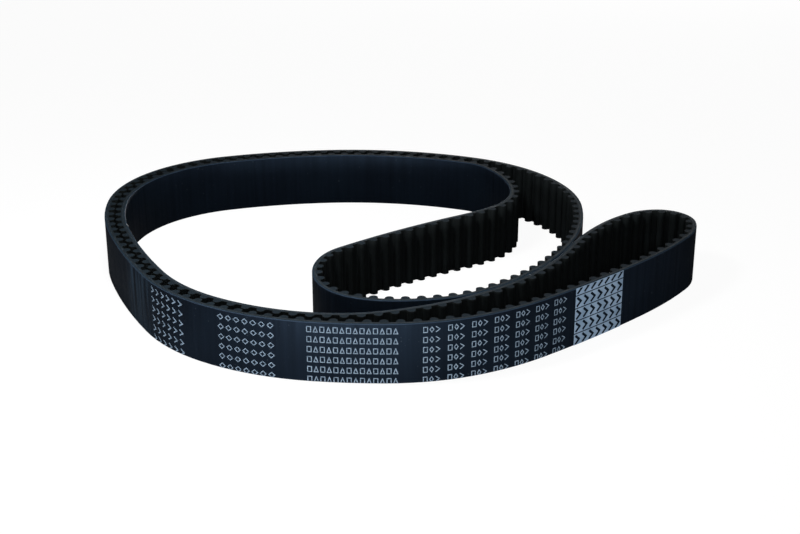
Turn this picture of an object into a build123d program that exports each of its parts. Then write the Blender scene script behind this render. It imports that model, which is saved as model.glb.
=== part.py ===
from build123d import *

"""Endless timing belt, standing on edge in a loose coil.

The belt is one closed loop with its teeth on the inside of the loop.  It is laid down as a large
coil with a smaller loop folded into it.  Two stretches run side by side, teeth to teeth, round most
of the coil, and two other stretches lie back to back beside the small loop.

Frame: millimetres, +Z up.  The belt stands on its lower cut edge in Z = 0, and the origin is the
middle of the rectangle that it covers.  +X points to the narrow nose, +Y to the back of the coil.
"""

import os
from collections import namedtuple
from math import ceil, cos, degrees, pi, radians, sin

import numpy as np

# ---------------------------------------------------------------- the belt
belt_width = 31.0  # across the belt, from cut edge to cut edge
tooth_pitch = 8.0  # along the cord line
tooth_count = 253
tip_radius = 2.15  # rounded tip of a tooth, over the fabric
root_radius = 0.85  # hollow at the foot of a tooth, over the fabric

# layers, from the smooth face inwards
back_cover = 1.0  # plain rubber
cord_diameter = 0.9  # glass cords, wound side by side
cord_cover = 0.05  # bonding rubber on either side of the cords
tooth_web = 0.3  # tooth rubber between two teeth
facing_thickness = 0.2  # nylon fabric

# printed label on the smooth face: a thin film in rows
label_length = 35.0
label_station = 612.0  # along the belt, from the start of the paired run
label_film = 0.06
label_row_pitch = 6.9
label_row_gap = 0.6
label_top_row = 3.8  # what the upper cut edge leaves of the top row

# ---------------------------------------------------------------- how it lies
# Each run is a chain of tangent bends of the smooth face, as (radius, degrees turned), drawn at
# about its real size.  A radius of None is worked out, so that the run meets the next one.
tooth_tip_gap = 0.3  # between the facing teeth of the paired run
back_gap = 0.3  # between the two stretches that lie back to back

paired_run = [(197, 22), (196, 4), (258, 14.5), (89, 25), (79, 46.5), (139, 19), (362, 11), (103, 26), (131, 26)]
paired_heading = 158
front_run = [(255, 8), (115, 24), (148, 14), (None, 7), (238, 10), (39, 35)]
nose_run = [(None, 90), (28.5, 35), (90, 15), (137, 16)]
touching_run = [(132, 14), (153, 18)]
touching_heading = 34
touching_offset = (-4.6, -204.9)  # from the start of the paired run to that of the touching run
crossing_run = [(None, 20), (None, 22)]
tight_turn = [(26, 33), (69, 34), (36, 50), (118, 10)]
small_loop = [(None, 10), (35, 29), (45, 40), (None, 50), (56, 20), (99, 16), (49, 18)]
right_side = [(None, 24), (84, 23), (None, 30), (99, 15)]

# ---------------------------------------------------------------- derived sizes
cord_layer_thickness = cord_diameter + 2 * cord_cover
tooth_side_depth = back_cover + cord_layer_thickness
web_thickness = tooth_side_depth + tooth_web + facing_thickness
tooth_height = root_radius + tip_radius
belt_thickness = web_thickness + tooth_height
cord_depth = back_cover + cord_layer_thickness / 2
half_foot = tip_radius + root_radius
belt_length = tooth_count * tooth_pitch
paired_depth = 2 * belt_thickness + tooth_tip_gap

tiny = 1e-6

Bend = namedtuple("Bend", "x y radius first_angle turn station length")


# ---------------------------------------------------------------- the lay of the belt
def step(heading, turn):
    """Way covered by a bend of radius 1 that turns by `turn` degrees, left if positive."""
    side = 1 if turn > 0 else -1
    a, b = radians(heading), radians(heading + turn)
    return np.array([side * (sin(b) - sin(a)), side * (cos(a) - cos(b))])


def walk(point, heading, run):
    """Point reached at the end of a run."""
    for radius, turn in run:
        point = point + radius * step(heading, turn)
        heading += turn
    return point


def turned(run):
    return sum(turn for _, turn in run)


def close_run(point, heading, run, end):
    """The run with its two open radii set so that it leads from `point` to `end`."""
    open_steps = []
    for radius, turn in run:
        if radius is None:
            open_steps.append(step(heading, turn))
        else:
            point = point + radius * step(heading, turn)
        heading += turn
    found = list(np.linalg.solve(np.array(open_steps).T, end - point))
    return [(found.pop(0) if radius is None else radius, turn) for radius, turn in run]


def beside(point, heading, distance):
    """Point at `distance` to the left of `point`."""
    a = radians(heading)
    return point + distance * np.array([-sin(a), cos(a)])


def grown(run, growth):
    return [(None if radius is None else radius * growth, turn) for radius, turn in run]


def returning(run, inwards):
    """The run followed backwards, `inwards` mm nearer to its centres."""
    return [(None if radius is None else radius - inwards, -turn) for radius, turn in reversed(run)]


def lay_belt(growth):
    """All bends of the loop in order, from the start of the paired run at (0, 0).

    The bends grow with `growth`.  The distances between stretches keep their size.
    """
    paired, touching = grown(paired_run, growth), grown(touching_run, growth)
    paired_start = np.array([0.0, 0.0])
    paired_end = walk(paired_start, paired_heading, paired)
    front_heading = paired_heading + turned(paired)
    touching_start = growth * np.array(touching_offset)
    touching_end = walk(touching_start, touching_heading, touching)
    side_heading = touching_heading + turned(touching)

    # the front, round the nose and back along the outside of the touching run
    front = close_run(
        paired_end, front_heading, grown(front_run + nose_run, growth),
        beside(touching_end, side_heading, -back_gap),
    )
    touching_back = returning(touching, -back_gap)
    crossing = close_run(
        beside(touching_start, touching_heading, -back_gap), touching_heading + 180,
        grown([(radius, -turn) for radius, turn in crossing_run], growth),
        beside(paired_end, front_heading, paired_depth),
    )
    # back round the coil inside the paired run, then the tight turn and the small loop
    paired_back = returning(paired, paired_depth)
    tight = [(radius, -turn) for radius, turn in grown(tight_turn, growth)]
    folded = close_run(
        beside(paired_start, paired_heading, paired_depth), paired_heading - 180,
        tight + grown(small_loop, growth), touching_start,
    )
    side = close_run(touching_end, side_heading, grown(right_side, growth), paired_start)
    return paired + front + touching_back + crossing + paired_back + folded + touching + side


def cord_line_length(run):
    """Length of a run along the cords, which lie to the left of the smooth face."""
    return sum(radius * radians(abs(turn)) - cord_depth * radians(turn) for radius, turn in run)


def fit_length():
    """The lay, grown evenly until its cord line holds a whole number of pitches."""
    short, long = cord_line_length(lay_belt(1)), cord_line_length(lay_belt(2))
    return lay_belt(1 + (belt_length - short) / (long - short))


def place_bends(run):
    """Bends with their centres, moved so that the loop is centred on the origin."""
    point, heading = np.array([0.0, 0.0]), paired_heading
    corners = []
    for radius, turn in run:
        corners.append(point)
        point = point + radius * step(heading, turn)
        heading += turn
    middle = (np.min(corners, axis=0) + np.max(corners, axis=0)) / 2
    placed, station, heading = [], 0.0, paired_heading
    for (radius, turn), corner in zip(run, corners):
        side = 1 if turn > 0 else -1
        x, y = beside(corner - middle, heading, side * radius)
        length = cord_line_length([(radius, turn)])
        first_angle = radians(heading - side * 90)
        placed.append(Bend(x, y, radius, first_angle, radians(turn), station, length))
        station += length
        heading += turn
    return placed


lay = fit_length()
bends = place_bends(lay)


def bend_at(station):
    return next(bend for bend in reversed(bends) if station >= bend.station - tiny)


def radius_at(bend, depth):
    return bend.radius - depth if bend.turn > 0 else bend.radius + depth


def point_at(station, depth):
    """Point `station` mm along the cord line and `depth` mm in from the smooth face."""
    station %= belt_length
    bend = bend_at(station)
    angle = bend.first_angle + bend.turn * (station - bend.station) / bend.length
    radius = radius_at(bend, depth)
    return Vector(bend.x + radius * cos(angle), bend.y + radius * sin(angle))


# ---------------------------------------------------------------- outlines seen from above
# The outlines have a thousand edges, so each one is made as a list and faced in one go.
def arc_between(first, last, depth):
    """Arc along the belt at one depth, inside one bend or two that hardly differ."""
    middle = (first + last) / 2
    points = [point_at(station, depth) for station in (first, middle, last)]
    return ThreePointArc(*points, mode=Mode.PRIVATE)


def loop_line(depth):
    """Closed line at one depth, with one arc for each bend."""
    edges = []
    for bend in bends:
        edge = CenterArc(
            (bend.x, bend.y), radius_at(bend, depth),
            start_angle=degrees(bend.first_angle), arc_size=degrees(bend.turn), mode=Mode.PRIVATE,
        )
        edges.append(edge)
    return edges


def tooth_place(number):
    """Stations of a tooth's two feet, its middle on the root line, and its two directions."""
    middle = (number + 0.5) * tooth_pitch
    bend = bend_at(middle)
    reach = half_foot * radius_at(bend, cord_depth) / radius_at(bend, web_thickness)
    root = point_at(middle, web_thickness)
    inwards = (point_at(middle, belt_thickness) - root).normalized()
    along = Vector(inwards.Y, -inwards.X)
    return middle - reach, middle + reach, root, along, inwards


def toothed_line(skin):
    """Closed line over teeth and lands, `skin` mm under the outside of the fabric."""
    depth = web_thickness - skin
    hollow = (root_radius + skin) * sin(pi / 4)
    places = [tooth_place(number) for number in range(tooth_count)]
    edges = []
    for number, (first_foot, last_foot, root, along, inwards) in enumerate(places):
        shoulders = []
        for side, foot in ((-1, first_foot), (1, last_foot)):
            shoulder = root + along * side * (tip_radius - skin) + inwards * root_radius
            bottom = root + along * side * (half_foot - hollow) + inwards * (root_radius - hollow)
            edges.append(ThreePointArc(point_at(foot, depth), bottom, shoulder, mode=Mode.PRIVATE))
            shoulders.append(shoulder)
        tip = root + inwards * (tooth_height - skin)
        edges.append(ThreePointArc(shoulders[0], tip, shoulders[1], mode=Mode.PRIVATE))
        next_foot = places[(number + 1) % tooth_count][0]
        if next_foot < last_foot:
            next_foot += belt_length
        edges.append(arc_between(last_foot, next_foot, depth))
    return edges


def stretch_line(first, last, shallow, deep):
    """Closed outline of a thin layer that covers part of the belt."""
    stops = [first] + [bend.station for bend in bends if first < bend.station < last] + [last]
    edges = []
    for start, stop in zip(stops, stops[1:]):
        edges.append(arc_between(start, stop, shallow))
        edges.append(arc_between(start, stop, deep))
    for end in (first, last):
        edges.append(Line(point_at(end, shallow), point_at(end, deep), mode=Mode.PRIVATE))
    return edges


# ---------------------------------------------------------------- back rubber
with BuildPart() as back_rubber:
    with BuildSketch():
        make_face(loop_line(0))
        make_face(loop_line(back_cover), mode=Mode.SUBTRACT)
    extrude(amount=belt_width)

# ---------------------------------------------------------------- cord layer
# The glass cords are wound side by side in bonding rubber, and the layer is drawn whole.
with BuildPart() as cord_layer:
    with BuildSketch():
        make_face(loop_line(back_cover))
        make_face(loop_line(tooth_side_depth), mode=Mode.SUBTRACT)
    extrude(amount=belt_width)

# ---------------------------------------------------------------- tooth rubber
with BuildPart() as tooth_rubber:
    with BuildSketch():
        make_face(loop_line(tooth_side_depth))
        make_face(toothed_line(facing_thickness), mode=Mode.SUBTRACT)
    extrude(amount=belt_width)

# ---------------------------------------------------------------- facing fabric
with BuildPart() as facing_fabric:
    with BuildSketch():
        make_face(toothed_line(facing_thickness))
        make_face(toothed_line(0), mode=Mode.SUBTRACT)
    extrude(amount=belt_width)

# ---------------------------------------------------------------- printed label
# The rows are printed down from the top one, and both cut edges cut through a row.
label_rows = 1 + ceil((belt_width - label_top_row) / label_row_pitch - tiny)

with BuildPart() as transfer_label:
    for row in range(label_rows):
        row_top = min(belt_width, belt_width - label_top_row + (1 - row) * label_row_pitch - label_row_gap)
        row_bottom = max(0, belt_width - label_top_row - row * label_row_pitch)
        with BuildSketch(Plane.XY.offset(row_bottom)):
            make_face(stretch_line(label_station, label_station + label_length, -label_film, 0))
        extrude(amount=row_top - row_bottom)

# ---------------------------------------------------------------- files
layers = {
    "back_rubber": back_rubber,
    "cord_layer": cord_layer,
    "tooth_rubber": tooth_rubber,
    "facing_fabric": facing_fabric,
    "transfer_label": transfer_label,
}
os.makedirs("parts", exist_ok=True)
for name, layer in layers.items():
    layer.part.label = name
    export_step(layer.part, f"parts/{name}.step")

print("pitches along the cord line:", round(cord_line_length(lay) / tooth_pitch, 6))
print("tightest bend of the smooth face:", round(min(bend.radius for bend in bends), 1))
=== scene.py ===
from bisect import bisect_right
from itertools import accumulate
from math import floor, radians, sqrt

import bmesh
import bpy
from mathutils import Matrix, Vector
from mathutils.kdtree import KDTree


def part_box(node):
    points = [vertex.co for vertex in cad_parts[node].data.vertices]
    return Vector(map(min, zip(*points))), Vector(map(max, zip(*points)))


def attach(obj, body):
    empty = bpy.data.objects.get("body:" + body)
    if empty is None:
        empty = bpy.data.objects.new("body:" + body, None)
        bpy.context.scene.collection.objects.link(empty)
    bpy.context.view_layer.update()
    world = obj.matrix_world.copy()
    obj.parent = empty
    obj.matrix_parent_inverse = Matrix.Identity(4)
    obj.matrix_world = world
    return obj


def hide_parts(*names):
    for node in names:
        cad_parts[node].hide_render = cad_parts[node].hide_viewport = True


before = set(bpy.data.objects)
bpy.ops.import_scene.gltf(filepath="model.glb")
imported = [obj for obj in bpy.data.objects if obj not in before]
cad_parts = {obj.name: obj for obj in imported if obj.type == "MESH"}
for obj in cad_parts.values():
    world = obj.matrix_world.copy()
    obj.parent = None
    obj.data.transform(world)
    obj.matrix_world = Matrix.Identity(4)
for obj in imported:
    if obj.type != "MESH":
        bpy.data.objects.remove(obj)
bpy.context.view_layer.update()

mm = 0.001
belt_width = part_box("back_rubber")[1].z

# ---------------------------------------------------------------- sizes of the finish
weld = 0.001 * mm  # points closer than this are one point
corner_radius = 0.3 * mm  # rounding where the ground back meets a cut edge
sharp_angle = radians(35)
edge_tilt = 0.5  # upward share of a normal from which a face belongs to a cut edge
flat_tilt = 0.9  # and from which it has the knife's finish
ink_thickness = 0.03 * mm
ink_gap = 0.01 * mm  # between the ink and the facets of what it is printed on
mark_rows = 6
row_pitch = 5.2 * mm
first_row_drop = 3.6 * mm  # from the upper cut edge to the middle of the first row
mark_height = 2.7 * mm
stroke = 0.42 * mm
label_mark_height = 4.0 * mm
label_stroke = 1.3 * mm


# ---------------------------------------------------------------- the smooth face as a ruler
class SmoothFace:
    """Measures along the smooth face.  Stations grow to the right as seen from outside the belt."""

    def __init__(self, ring):
        self.points = ring
        lengths = [(b - a).length for a, b in zip(ring, ring[1:] + ring[:1])]
        self.stations = [0.0] + list(accumulate(lengths))
        self.length = self.stations[-1]
        sides = [(b - a).normalized() for a, b in zip(ring, ring[1:] + ring[:1])]
        before = sides[-1:] + sides[:-1]
        self.normals = [Vector((u.y + v.y, -u.x - v.x, 0)).normalized() for u, v in zip(before, sides)]
        self.ruler_step = 1 * mm
        count = floor(self.length / self.ruler_step)
        self.finder = KDTree(count)
        for index in range(count):
            self.finder.insert(self.at(index * self.ruler_step, 0, 0), index)
        self.finder.balance()

    def place(self, station):
        """Point on the lower corner and outward direction at a station."""
        station %= self.length
        index = bisect_right(self.stations, station) - 1
        share = (station - self.stations[index]) / (self.stations[index + 1] - self.stations[index])
        after = (index + 1) % len(self.points)
        point = self.points[index].lerp(self.points[after], share)
        return point, self.normals[index].lerp(self.normals[after], share).normalized()

    def at(self, station, height, lift):
        point, outwards = self.place(station)
        return Vector((point.x, point.y, height)) + outwards * lift

    def measure(self, position):
        """Station of a point, how deep it lies inside the belt, and the outward direction there."""
        foot = Vector((position.x, position.y, 0))
        near = self.finder.find(foot)[1] * self.ruler_step
        for _ in range(3):
            point, outwards = self.place(near)
            along = Vector((-outwards.y, outwards.x, 0))
            near += (foot - point).dot(along)
        point, outwards = self.place(near)
        return near % self.length, (point - foot).dot(outwards), outwards


def merged_copy(node):
    shape = bmesh.new()
    shape.from_mesh(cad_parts[node].data)
    bmesh.ops.remove_doubles(shape, verts=shape.verts, dist=weld)
    return shape


def lower_rings(shape):
    """Rings of corner points on the lower cut edge, each in order."""
    def is_corner(edge):
        flat = [abs(face.normal.z) > edge_tilt for face in edge.link_faces]
        return sum(flat) == 1 and all(vert.co.z < 0.01 * mm for vert in edge.verts)

    shape.normal_update()
    left = {edge for edge in shape.edges if is_corner(edge)}
    rings = []
    while left:
        edge = left.pop()
        start, vert = edge.verts
        ring = [start.co.copy()]
        while vert is not start:
            ring.append(vert.co.copy())
            edge = next(other for other in vert.link_edges if other in left)
            left.remove(edge)
            vert = edge.other_vert(vert)
        rings.append(ring)
    return rings


def enclosed_area(ring):
    return sum(a.x * b.y - a.y * b.x for a, b in zip(ring, ring[1:] + ring[:1])) / 2


def read_smooth_face():
    """The back rubber has two rings, and the smooth face's is the one that holds more.

    The ruler starts at its rearmost point, far from the marks, so that every run measures alike.
    """
    shape = merged_copy("back_rubber")
    ring = max(lower_rings(shape), key=lambda points: abs(enclosed_area(points)))
    shape.free()
    if enclosed_area(ring) < 0:
        ring.reverse()
    first = max(range(len(ring)), key=lambda index: (ring[index].y, ring[index].x))
    return SmoothFace(ring[first:] + ring[:first])


smooth_face = read_smooth_face()
label_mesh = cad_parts["transfer_label"].data
label_levels = sorted({round(vert.co.z / mm, 3) * mm for vert in label_mesh.vertices})
label_spans = [smooth_face.measure(vert.co)[0] for vert in label_mesh.vertices]
label_start, label_end = min(label_spans), max(label_spans)
film_thickness = -min(smooth_face.measure(vert.co)[1] for vert in label_mesh.vertices)


# ---------------------------------------------------------------- materials
rubber_dark, rubber_light = "#0b1017", "#121923"
# The corner colour is a painted highlight along both cut edges of the smooth face.
bloom_colour, dust_colour, corner_highlight_colour = "#18232f", "#56616a", "#39475a"
# The scuff colour is a painted sheen: pale bluish streaks across the belt where it bends to the left,
# standing in for the glints of light there.
sheen_streak_colour = "#2c3c4b"
sheen_streak_station = (label_start - 254 * mm) % smooth_face.length  # where the belt bends to the left
sheen_streak_reach, sheen_streak_core = 20 * mm, 10 * mm  # the painted sheen streaks fade out between these, to both sides
stripe_depth = 0.12 * mm
gloss, shine, shine_tint = 0.5, 0.2, "#9fc4f0"
cut_back_dark, cut_back_light = "#16232d", "#2b3d4a"
cut_tooth_dark, cut_tooth_light = "#101a20", "#22303a"
cord_dark, cord_light = "#182026", "#48555f"
fabric_dark, fabric_light, fabric_worn = "#141819", "#1b2021", "#22282a"
film_dark, film_light, film_speck = "#869fb9", "#9fb7d0", "#4c5d6d"
pale_ink_thin, pale_ink_full = "#6b7f92", "#96abc0"
dark_ink_thin, dark_ink_full = "#0f1d2b", "#07121e"
one_wave = 0.32  # scale of a wave texture whose waves are about one pattern unit long


def colour(code):
    """Linear colour of an sRGB hex code."""
    parts = [int(code[i:i + 2], 16) / 255 for i in (1, 3, 5)]
    linear = [part / 12.92 if part <= 0.04045 else ((part + 0.055) / 1.055) ** 2.4 for part in parts]
    return linear + [1.0]


def add(tree, kind, inputs=None, stops=None, **settings):
    """Adds a node.  An input is a value or an output socket, and stops are a ramp's two ends."""
    made = tree.nodes.new("ShaderNode" + kind)
    for name, value in settings.items():
        setattr(made, name, value)
    for name, value in (inputs or {}).items():
        if isinstance(value, bpy.types.NodeSocket):
            tree.links.new(value, made.inputs[name])
        else:
            made.inputs[name].default_value = value
    for element, (position, code) in zip(made.color_ramp.elements if stops else (), stops or ()):
        element.position = position
        element.color = colour(code)
    return made


def new_material(name):
    material = bpy.data.materials.new(name)
    material.use_nodes = True
    material.node_tree.nodes.clear()
    return material, material.node_tree


def per(*sizes):
    """Mapping scale that makes one pattern unit as long as each size, in metres."""
    return [1 / size for size in sizes]


def ground_rubber():
    """HNBR ground to thickness: charcoal, with a bluish wax bloom and stripes across the belt."""
    material, tree = new_material("ground_hnbr_rubber")
    belt = add(tree, "UVMap", uv_map="belt").outputs["UV"]
    place = add(tree, "TexCoord").outputs["Object"]
    # The grinding wheel leaves shallow stripes across the belt, about 3 mm apart.
    stripes = add(tree, "TexNoise", {
        "Vector": add(tree, "Mapping", {"Vector": belt, "Scale": per(3 * mm, 90 * mm, 1)}).outputs[0],
        "Scale": 1.0, "Detail": 3.0, "Roughness": 0.6}).outputs["Fac"]
    rubber = add(tree, "ValToRGB", {"Fac": stripes}, stops=[(0.3, rubber_dark), (0.7, rubber_light)])
    # Wax blooms in patches as wide as a hand's touch.
    patches = add(tree, "TexNoise", {
        "Vector": add(tree, "Mapping", {
            "Vector": place, "Scale": per(40 * mm, 40 * mm, 40 * mm)}).outputs[0],
        "Scale": 1.0, "Detail": 2.0}).outputs["Fac"]
    bloom = add(tree, "MapRange", {"Value": patches, "From Min": 0.4, "From Max": 0.75, "To Max": 0.35})
    bloomed = add(tree, "Mix", {0: bloom.outputs[0], 6: rubber.outputs[0], 7: colour(bloom_colour)},
                  data_type="RGBA").outputs[2]
    # Dust and chalk sit on it as specks of half a millimetre, few and far between.
    dust = add(tree, "TexNoise", {
        "Vector": add(tree, "Mapping", {
            "Vector": place, "Scale": per(1.6 * mm, 1.6 * mm, 1.6 * mm)}).outputs[0],
        "Scale": 1.0, "Detail": 2.0}).outputs["Fac"]
    specks = add(tree, "MapRange", {"Value": dust, "From Min": 0.71, "From Max": 0.8, "To Max": 0.35})
    dusty = add(tree, "Mix", {0: specks.outputs[0], 6: bloomed, 7: colour(dust_colour)},
                data_type="RGBA").outputs[2]
    # Painted sheen: where the belt bends round to the left it is painted with pale streaks across, 3 or
    # 4 mm apart, standing in for the glints of light its face catches there.
    along = add(tree, "SeparateXYZ", {"Vector": belt}).outputs["X"]
    beside = add(tree, "Math", {0: along, 1: sheen_streak_station}, operation="SUBTRACT").outputs[0]
    distance = add(tree, "Math", {0: beside}, operation="ABSOLUTE").outputs[0]
    near = add(tree, "MapRange", {
        "Value": distance, "From Min": sheen_streak_reach, "From Max": sheen_streak_core}).outputs[0]
    lines = add(tree, "TexNoise", {
        "Vector": add(tree, "Mapping", {"Vector": belt, "Scale": per(3.5 * mm, 60 * mm, 1)}).outputs[0],
        "Scale": 1.0, "Detail": 2.0}).outputs["Fac"]
    streaks = add(tree, "MapRange", {
        "Value": lines, "From Min": 0.38, "From Max": 0.62, "To Max": 0.9}).outputs[0]
    sheen_streak_amount = add(tree, "Math", {0: near, 1: streaks}, operation="MULTIPLY").outputs[0]
    sheen_streaked = add(tree, "Mix", {0: sheen_streak_amount, 6: dusty, 7: colour(sheen_streak_colour)},
                  data_type="RGBA").outputs[2]
    # Painted highlight: the corner is painted pale within half a millimetre of the cut, standing in for
    # the light its rounding catches.
    height = add(tree, "SeparateXYZ", {"Vector": place}).outputs["Z"]
    offset = add(tree, "Math", {0: height, 1: belt_width / 2}, operation="SUBTRACT").outputs[0]
    from_middle = add(tree, "Math", {0: offset}, operation="ABSOLUTE").outputs[0]
    corner = add(tree, "MapRange", {
        "Value": from_middle, "From Min": belt_width / 2 - 0.5 * mm, "From Max": belt_width / 2})
    base = add(tree, "Mix", {0: corner.outputs[0], 6: sheen_streaked, 7: colour(corner_highlight_colour)},
               data_type="RGBA").outputs[2]
    # Grit marks of about 0.1 mm are drawn 0.4 mm wide, because finer ones don't show.
    grit = add(tree, "TexNoise", {
        "Vector": add(tree, "Mapping", {
            "Vector": belt, "Scale": per(0.4 * mm, 1.6 * mm, 1)}).outputs[0],
        "Scale": 1.0, "Detail": 2.0}).outputs["Fac"]
    waves = add(tree, "Bump", {
        "Strength": 1.0, "Distance": stripe_depth, "Height": stripes}).outputs["Normal"]
    normal = add(tree, "Bump", {
        "Strength": 0.25, "Distance": 0.04 * mm, "Height": grit, "Normal": waves})
    sheen = add(tree, "MapRange", {
        "Value": stripes, "From Min": 0.3, "From Max": 0.7,
        "To Min": gloss + 0.06, "To Max": gloss - 0.06})
    shader = add(tree, "BsdfPrincipled", {
        "Base Color": base, "Roughness": sheen.outputs[0], "Normal": normal.outputs[0],
        "IOR": 1.52, "Specular IOR Level": shine, "Specular Tint": colour(shine_tint)})
    add(tree, "OutputMaterial", {"Surface": shader.outputs[0]})
    return material


def cut_rubber(name, dark, light):
    """Rubber sliced with a knife: matte, a little torn, greyer than the ground face."""
    material, tree = new_material(name)
    place = add(tree, "TexCoord").outputs["Object"]
    tears = add(tree, "TexNoise", {
        "Vector": add(tree, "Mapping", {
            "Vector": place, "Scale": per(0.6 * mm, 0.6 * mm, 0.6 * mm)}).outputs[0],
        "Scale": 1.0, "Detail": 3.0, "Roughness": 0.65}).outputs["Fac"]
    base = add(tree, "ValToRGB", {"Fac": tears}, stops=[(0.3, dark), (0.75, light)])
    normal = add(tree, "Bump", {"Strength": 0.5, "Distance": 0.08 * mm, "Height": tears})
    shader = add(tree, "BsdfPrincipled", {
        "Base Color": base.outputs[0], "Roughness": 0.7, "Normal": normal.outputs[0],
        "IOR": 1.5, "Specular IOR Level": 0.12})
    add(tree, "OutputMaterial", {"Surface": shader.outputs[0]})
    return material


def cut_cords():
    """Cut edge of the cord layer: dark rubber with pale glass strands where the knife met a cord."""
    material, tree = new_material("cut_glass_cords")
    belt = add(tree, "UVMap", uv_map="belt").outputs["UV"]
    # A cord runs out of the edge at a very small angle, so each bared strand is long and thin.
    strands = add(tree, "TexNoise", {
        "Vector": add(tree, "Mapping", {"Vector": belt, "Scale": per(5 * mm, 0.3 * mm, 1)}).outputs[0],
        "Scale": 1.0, "Detail": 4.0, "Roughness": 0.7}).outputs["Fac"]
    base = add(tree, "ValToRGB", {"Fac": strands}, stops=[(0.48, cord_dark), (0.72, cord_light)])
    normal = add(tree, "Bump", {"Strength": 0.6, "Distance": 0.1 * mm, "Height": strands})
    shader = add(tree, "BsdfPrincipled", {
        "Base Color": base.outputs[0], "Roughness": 0.6, "Normal": normal.outputs[0],
        "IOR": 1.5, "Specular IOR Level": 0.15})
    add(tree, "OutputMaterial", {"Surface": shader.outputs[0]})
    return material


def nylon_facing():
    """Black woven nylon over the teeth: a fine dull weave, rubbed a little where it was handled."""
    material, tree = new_material("woven_nylon_facing")
    belt = add(tree, "UVMap", uv_map="belt").outputs["UV"]
    place = add(tree, "TexCoord").outputs["Object"]
    # Threads are 0.3 mm apart, drawn at 0.7 mm because finer ones don't show.
    threads = add(tree, "Mapping", {"Vector": belt, "Scale": per(0.7 * mm, 0.7 * mm, 1)}).outputs[0]
    warp = add(tree, "TexWave", {"Vector": threads, "Scale": one_wave},
               bands_direction="X").outputs["Fac"]
    weft = add(tree, "TexWave", {"Vector": threads, "Scale": one_wave},
               bands_direction="Y").outputs["Fac"]
    weave = add(tree, "Math", {0: warp, 1: weft}, operation="MULTIPLY").outputs[0]
    fabric = add(tree, "ValToRGB", {"Fac": weave}, stops=[(0.0, fabric_dark), (1.0, fabric_light)])
    rub = add(tree, "TexNoise", {
        "Vector": add(tree, "Mapping", {
            "Vector": place, "Scale": per(12 * mm, 12 * mm, 12 * mm)}).outputs[0],
        "Scale": 1.0, "Detail": 3.0}).outputs["Fac"]
    worn = add(tree, "MapRange", {"Value": rub, "From Min": 0.5, "From Max": 0.8, "To Max": 0.4})
    base = add(tree, "Mix", {0: worn.outputs[0], 6: fabric.outputs[0], 7: colour(fabric_worn)},
               data_type="RGBA").outputs[2]
    normal = add(tree, "Bump", {"Strength": 0.4, "Distance": 0.06 * mm, "Height": weave})
    shader = add(tree, "BsdfPrincipled", {
        "Base Color": base, "Roughness": 0.75, "Normal": normal.outputs[0],
        "IOR": 1.53, "Specular IOR Level": 0.08})
    add(tree, "OutputMaterial", {"Surface": shader.outputs[0]})
    return material


def transfer_film():
    """Pale heat-transfer film: matte, a little cloudy, with the rubber's grain as small specks."""
    material, tree = new_material("heat_transfer_film")
    place = add(tree, "TexCoord").outputs["Object"]
    clouds = add(tree, "TexNoise", {
        "Vector": add(tree, "Mapping", {
            "Vector": place, "Scale": per(9 * mm, 9 * mm, 9 * mm)}).outputs[0],
        "Scale": 1.0, "Detail": 1.0}).outputs["Fac"]
    film = add(tree, "ValToRGB", {"Fac": clouds}, stops=[(0.35, film_dark), (0.7, film_light)])
    grain = add(tree, "TexNoise", {
        "Vector": add(tree, "Mapping", {
            "Vector": place, "Scale": per(0.5 * mm, 0.5 * mm, 0.5 * mm)}).outputs[0],
        "Scale": 1.0, "Detail": 3.0}).outputs["Fac"]
    specks = add(tree, "MapRange", {"Value": grain, "From Min": 0.62, "From Max": 0.74, "To Max": 0.5})
    base = add(tree, "Mix", {0: specks.outputs[0], 6: film.outputs[0], 7: colour(film_speck)},
               data_type="RGBA").outputs[2]
    shader = add(tree, "BsdfPrincipled", {
        "Base Color": base, "Roughness": 0.6, "IOR": 1.46, "Specular IOR Level": 0.2})
    add(tree, "OutputMaterial", {"Surface": shader.outputs[0]})
    return material


def ink(name, thin, full):
    """Printing ink on rubber, matte and worn thin in places."""
    material, tree = new_material(name)
    place = add(tree, "TexCoord").outputs["Object"]
    wear = add(tree, "TexNoise", {
        "Vector": add(tree, "Mapping", {
            "Vector": place, "Scale": per(0.8 * mm, 0.8 * mm, 0.8 * mm)}).outputs[0],
        "Scale": 1.0, "Detail": 2.0}).outputs["Fac"]
    base = add(tree, "ValToRGB", {"Fac": wear}, stops=[(0.35, thin), (0.6, full)])
    shader = add(tree, "BsdfPrincipled", {
        "Base Color": base.outputs[0], "Roughness": 0.6, "IOR": 1.46, "Specular IOR Level": 0.2})
    add(tree, "OutputMaterial", {"Surface": shader.outputs[0]})
    return material


back_finish = ground_rubber()
cut_back_finish = cut_rubber("knife_cut_back_rubber", cut_back_dark, cut_back_light)
cord_finish = cut_cords()
cut_tooth_finish = cut_rubber("knife_cut_tooth_rubber", cut_tooth_dark, cut_tooth_light)
fabric_finish = nylon_facing()
film_finish = transfer_film()
pale_ink = ink("pale_marking_ink", pale_ink_thin, pale_ink_full)
dark_ink = ink("dark_marking_ink", dark_ink_thin, dark_ink_full)


# ---------------------------------------------------------------- dressed layers of the belt
def round_smooth_corners(shape):
    """Rounds both corners of the smooth face, by rings of points moved in towards the belt."""
    for share in (1.0, 0.5, 0.15):
        for height in (share * corner_radius, belt_width - share * corner_radius):
            geometry = shape.verts[:] + shape.edges[:] + shape.faces[:]
            bmesh.ops.bisect_plane(
                shape, geom=geometry, dist=weld, plane_co=(0, 0, height), plane_no=(0, 0, 1))
    for vert in shape.verts:
        _, depth, outwards = smooth_face.measure(vert.co)
        from_edge = min(vert.co.z, belt_width - vert.co.z)
        if depth < 0.1 * mm and from_edge < corner_radius:
            rise = sqrt(max(0, corner_radius ** 2 - (corner_radius - from_edge) ** 2))
            vert.co -= outwards * (corner_radius - rise)


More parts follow.
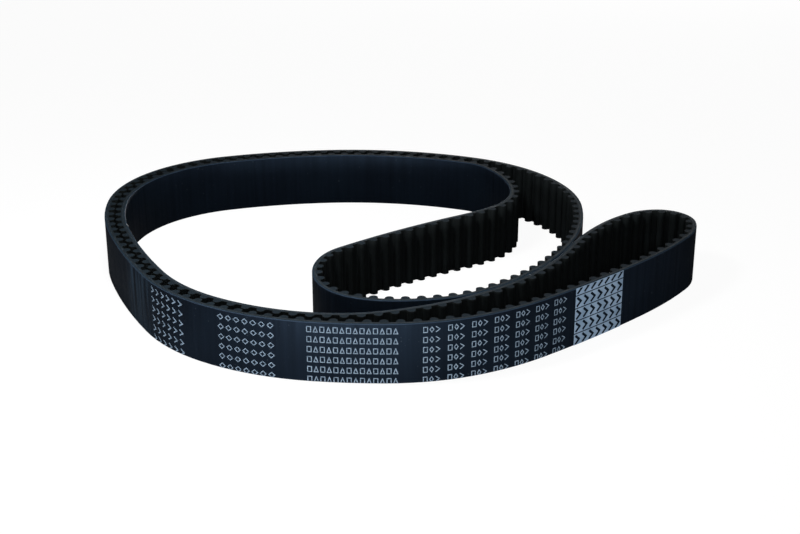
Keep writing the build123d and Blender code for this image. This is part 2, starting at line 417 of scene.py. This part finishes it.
def map_belt(shape):
    """UV map: along the belt and up its width on the faces, along and into it on the cut edges."""
    layer = shape.loops.layers.uv.new("belt")
    measured = {vert: smooth_face.measure(vert.co) for vert in shape.verts}
    for face in shape.faces:
        first = measured[face.verts[0]][0]
        for loop in face.loops:
            station, depth, _ = measured[loop.vert]
            station -= round((station - first) / smooth_face.length) * smooth_face.length
            if abs(face.normal.z) > edge_tilt:
                loop[layer].uv = (station, depth)
            else:
                loop[layer].uv = (station + depth, loop.vert.co.z)


def dress(node, face_finish, edge_finish, rounded=False):
    """A merged, smooth copy of a CAD layer, with one finish on its faces and one on its cut edges."""
    shape = merged_copy(node)
    if rounded:
        round_smooth_corners(shape)
    shape.normal_update()
    map_belt(shape)
    for face in shape.faces:
        face.smooth = True
        face.material_index = 1 if abs(face.normal.z) > flat_tilt else 0
    for edge in shape.edges:
        edge.smooth = edge.calc_face_angle(0) < sharp_angle
    mesh = bpy.data.meshes.new(f"{node}_finish")
    shape.to_mesh(mesh)
    shape.free()
    mesh.materials.append(face_finish)
    mesh.materials.append(edge_finish)
    piece = bpy.data.objects.new(f"{node}_finish", mesh)
    bpy.context.scene.collection.objects.link(piece)
    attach(piece, "root")
    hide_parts(node)


dress("back_rubber", back_finish, cut_back_finish, rounded=True)
dress("cord_layer", cord_finish, cord_finish)
dress("tooth_rubber", cut_tooth_finish, cut_tooth_finish)
dress("facing_fabric", fabric_finish, fabric_finish)
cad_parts["transfer_label"].data.materials.clear()
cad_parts["transfer_label"].data.materials.append(film_finish)

# ---------------------------------------------------------------- printed marks
# Each mark is drawn flat, with X along the belt and Y up its width, and then laid on the belt.
def draw_strokes(shape, x, y, width, height, line, corners, closed=True):
    """Straight strokes from corner to corner.  Corners are in shares of the width and height."""
    ends = corners[1:] + corners[:1] if closed else corners[1:]
    for (x1, y1), (x2, y2) in zip(corners, ends):
        start = Vector((x + x1 * width, y + y1 * height, 0))
        along = Vector((x + x2 * width, y + y2 * height, 0)) - start
        reach = along.normalized() * line
        across = Vector((-reach.y, reach.x, 0))
        place = Matrix((along + reach, across, (0, 0, 1))).transposed().to_4x4()
        place.translation = start + along / 2
        bmesh.ops.create_grid(shape, x_segments=2, y_segments=1, size=0.5, matrix=place)


arrow = [(-0.5, -0.5), (0.5, 0), (-0.5, 0.5)]
diamond = [(0, -0.5), (0.5, 0), (0, 0.5), (-0.5, 0)]
square = [(-0.5, -0.5), (0.5, -0.5), (0.5, 0.5), (-0.5, 0.5)]
triangle = [(-0.5, -0.5), (0.5, -0.5), (0, 0.5)]


def draw_row(shape, length, y, forms, count, share, height, line):
    """A row of evenly spaced marks that takes the forms in turn.  None leaves a gap.

    A mark is as wide as the given share of its place in the row.
    """
    pitch = length / count
    for number in range(count):
        form = forms[number % len(forms)]
        if form:
            x = (number + 0.5) * pitch
            draw_strokes(shape, x, y, share * pitch, height, line, form, closed=form is not arrow)


def lay_on_belt(name, shape, station, lift, finish):
    """Trims flat marks at the cut edges, lays them on the smooth face and thickens them."""
    for height, direction in ((0, -1), (belt_width, 1)):
        edge = height - direction * corner_radius
        geometry = shape.verts[:] + shape.edges[:] + shape.faces[:]
        bmesh.ops.bisect_plane(
            shape, geom=geometry, plane_co=(0, edge, 0), plane_no=(0, direction, 0), clear_outer=True)
    top = bmesh.ops.extrude_face_region(shape, geom=shape.faces[:])
    raised = {item for item in top["geom"] if isinstance(item, bmesh.types.BMVert)}
    for vert in shape.verts:
        rise = lift + (ink_thickness if vert in raised else 0)
        vert.co = smooth_face.at(station + vert.co.x, vert.co.y, rise)
    bmesh.ops.recalc_face_normals(shape, faces=shape.faces)
    mesh = bpy.data.meshes.new(name)
    shape.to_mesh(mesh)
    shape.free()
    mesh.materials.append(finish)
    piece = bpy.data.objects.new(name, mesh)
    bpy.context.scene.collection.objects.link(piece)
    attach(piece, "root")


# name, how far before the label it starts, its length, forms, marks in a row, their share, line
mark_blocks = (
    ("arrow_marks", 237 * mm, 28 * mm, (arrow,), 6, 0.45, 1.6 * stroke),
    ("diamond_marks", 188 * mm, 31 * mm, (diamond,), 7, 0.7, stroke),
    ("square_marks", 142 * mm, 44 * mm, (square, triangle), 14, 0.62, stroke),
    ("grouped_marks", 87 * mm, 81 * mm, (square, diamond, arrow, None), 27, 0.62, stroke),
)
for name, distance, length, forms, count, share, line in mark_blocks:
    marks = bmesh.new()
    for row in range(mark_rows):
        y = belt_width - first_row_drop - row * row_pitch
        draw_row(marks, length, y, forms, count, share, mark_height, line)
    lay_on_belt(name, marks, label_start - distance, ink_gap, pale_ink)


def draw_label_marks():
    """Dark arrows on each row of the label.  The outer rows are cut by the belt's edges."""
    shape = bmesh.new()
    bottoms, tops = label_levels[0::2], label_levels[1::2]
    row_height = tops[1] - bottoms[1]
    middles = [tops[0] - row_height / 2] + [bottom + row_height / 2 for bottom in bottoms[1:]]
    for middle in middles:
        draw_row(shape, label_end - label_start, middle, (arrow,), 7, 0.45,
                 label_mark_height, label_stroke)
    lift = film_thickness + ink_gap
    lay_on_belt("label_arrows", shape, label_start, lift, dark_ink)


draw_label_marks()


# ---------------------------------------------------------------- floor, light and camera
floor_colour, floor_glow, floor_half_size = "#666666", 0.94, 6  # the size in metres
world_light = 0.07  # what reaches the belt from the white studio around it
camera_place = (1.8 * mm, -766.7 * mm, 330.1 * mm)
camera_dip = radians(22.92)
camera_lens = 68.2  # millimetres, on a sensor 36 mm wide

# name, place, aim, width, height and power, in metres and watts
softboxes = (
    ("front_strip", (-0.22, -1.1, 0.045), (0, -0.1, 0.015), 0.8, 0.085, 9),
    ("top_box", (-0.1, -0.1, 0.3), (-0.1, -0.1, 0), 0.08, 0.08, 0.66),
    ("front_fill", (0.1, -0.95, 0.55), (0.05, 0, 0), 0.4, 0.4, 2.1),
    ("back_strip", (0.22, 1.1, 0.045), (0, 0.1, 0.015), 0.8, 0.085, 7),
)


def add_floor():
    """White floor.  The camera sees it glow, so that it is white, and it still shows the shadow."""
    material, tree = new_material("studio_floor")
    paper = add(tree, "BsdfDiffuse", {"Color": colour(floor_colour)})
    seen = add(tree, "LightPath").outputs["Is Camera Ray"]
    strength = add(tree, "Math", {0: seen, 1: floor_glow}, operation="MULTIPLY").outputs[0]
    glow = add(tree, "Emission", {"Color": (1, 1, 1, 1), "Strength": strength})
    blend = add(tree, "AddShader")
    tree.links.new(paper.outputs[0], blend.inputs[0])
    tree.links.new(glow.outputs[0], blend.inputs[1])
    add(tree, "OutputMaterial", {"Surface": blend.outputs[0]})
    shape = bmesh.new()
    bmesh.ops.create_grid(shape, x_segments=1, y_segments=1, size=floor_half_size)
    mesh = bpy.data.meshes.new("studio_floor")
    shape.to_mesh(mesh)
    shape.free()
    mesh.materials.append(material)
    floor_piece = bpy.data.objects.new("studio_floor", mesh)
    bpy.context.scene.collection.objects.link(floor_piece)


def add_softbox(name, place, target, width, height, power):
    lamp = bpy.data.lights.new(name, "AREA")
    lamp.shape = "RECTANGLE"
    lamp.size = width
    lamp.size_y = height
    lamp.energy = power
    holder = bpy.data.objects.new(name, lamp)
    holder.location = place
    holder.visible_camera = False
    holder.rotation_euler = (Vector(target) - Vector(place)).to_track_quat("-Z", "Y").to_euler()
    bpy.context.scene.collection.objects.link(holder)


def add_world():
    world = bpy.data.worlds.new("studio")
    world.use_nodes = True
    tree = world.node_tree
    tree.nodes.clear()
    camera_ray = add(tree, "LightPath").outputs["Is Camera Ray"]
    strength = add(tree, "MapRange", {
        "Value": camera_ray, "To Min": world_light, "To Max": 1.0}).outputs["Result"]
    background = add(tree, "Background", {"Color": (1, 1, 1, 1), "Strength": strength})
    add(tree, "OutputWorld", {"Surface": background.outputs[0]})
    bpy.context.scene.world = world


def add_camera():
    """Stands in front of the coil and looks down at it by 23 degrees."""
    lens = bpy.data.cameras.new("camera")
    lens.sensor_width = 36
    lens.lens = camera_lens
    lens.clip_end = 20
    camera = bpy.data.objects.new("camera", lens)
    camera.location = camera_place
    camera.rotation_euler = (radians(90) - camera_dip, 0, 0)
    bpy.context.scene.collection.objects.link(camera)
    bpy.context.scene.camera = camera


add_floor()
for softbox in softboxes:
    add_softbox(*softbox)
add_world()
add_camera()
bpy.context.scene.view_settings.view_transform = "Standard"
